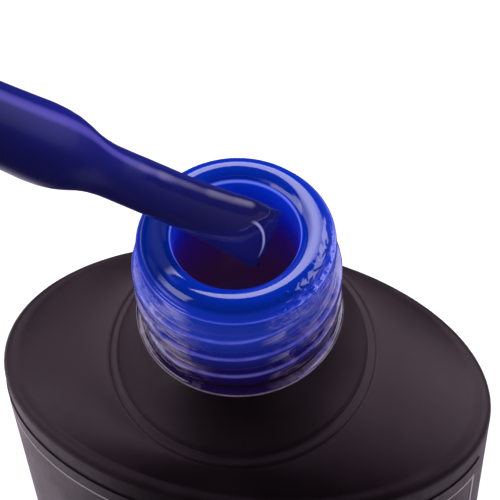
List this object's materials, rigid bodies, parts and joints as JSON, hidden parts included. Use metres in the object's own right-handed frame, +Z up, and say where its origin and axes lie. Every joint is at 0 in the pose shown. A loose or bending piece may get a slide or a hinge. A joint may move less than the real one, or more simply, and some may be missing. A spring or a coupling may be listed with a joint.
{
  "type": "nail polish bottle",
  "caption": "Oval satin-black gel polish bottle, open, with a threaded neck and a flat brush wand with screw cap held tilted over its mouth.",
  "frame": {"origin": "centre of the bottle's flat base, on the surface it stands on", "axes": "+Z up along the neck, +X along the oval's long side, the labelled front faces -Y"},
  "size_m": [0.0675, 0.0389, 0.1127],
  "materials": {
    "bottle_glass": "glass, satin black lacquer outside up to the neck's bead, clear neck wetted with polish",
    "polish": "wet cobalt blue gel",
    "ball_steel": "polished steel",
    "label_film": "satin film with a pale printed frame line",
    "liner_foam": "closed-cell foam",
    "cap_inner": "moulded polypropylene",
    "cap_shell": "satin black",
    "color_dot": "gloss cobalt dot",
    "stem_plastic": "moulded, wetted with polish at its end",
    "staple_steel": "bright wire",
    "bristle_nylon": "fine filaments soaked in polish"
  },
  "bodies": {
    "bottle": {"glass_bottle": "bottle_glass", "polish_fill": "polish", "front_label": "label_film"},
    "ball_1": {"mixing_ball_1": "ball_steel"},
    "ball_2": {"mixing_ball_2": "ball_steel"},
    "seal": {"seal_liner": "liner_foam"},
    "wand": {"inner_cap": "cap_inner", "overcap": "cap_shell", "cap_color_dot": "color_dot", "stem": "stem_plastic", "tuft_staple": "staple_steel"},
    "brush": {"bristles": "bristle_nylon"}
  },
  "joints": [
    {"name": "wand_draw", "type": "slide", "parent": "bottle", "child": "seal", "axis": [-0.6254, -0.2719, 0.7314], "range_m": [0, 0.05]},
    {"name": "wand_twist", "type": "hinge", "parent": "seal", "child": "wand", "pos_m": [-0.02912, -0.0129, 0.0918], "axis": [-0.6254, -0.2719, 0.7314], "continuous": true},
    {"name": "bristle_flex", "type": "hinge", "parent": "wand", "child": "brush", "pos_m": [-0.00904, -0.00417, 0.06833], "axis": [-0.2446, -0.8217, -0.5147], "range_deg": [-3, 3], "stiffness_Nm_per_rad": 0.002},
    {"name": "ball_1_roll", "type": "slide", "parent": "bottle", "child": "ball_1", "axis": [1, 0, 0], "range_m": [-0.0078, 0]},
    {"name": "ball_2_roll", "type": "slide", "parent": "bottle", "child": "ball_2", "axis": [1, 0, 0], "range_m": [0, 0.0078]}
  ]
}
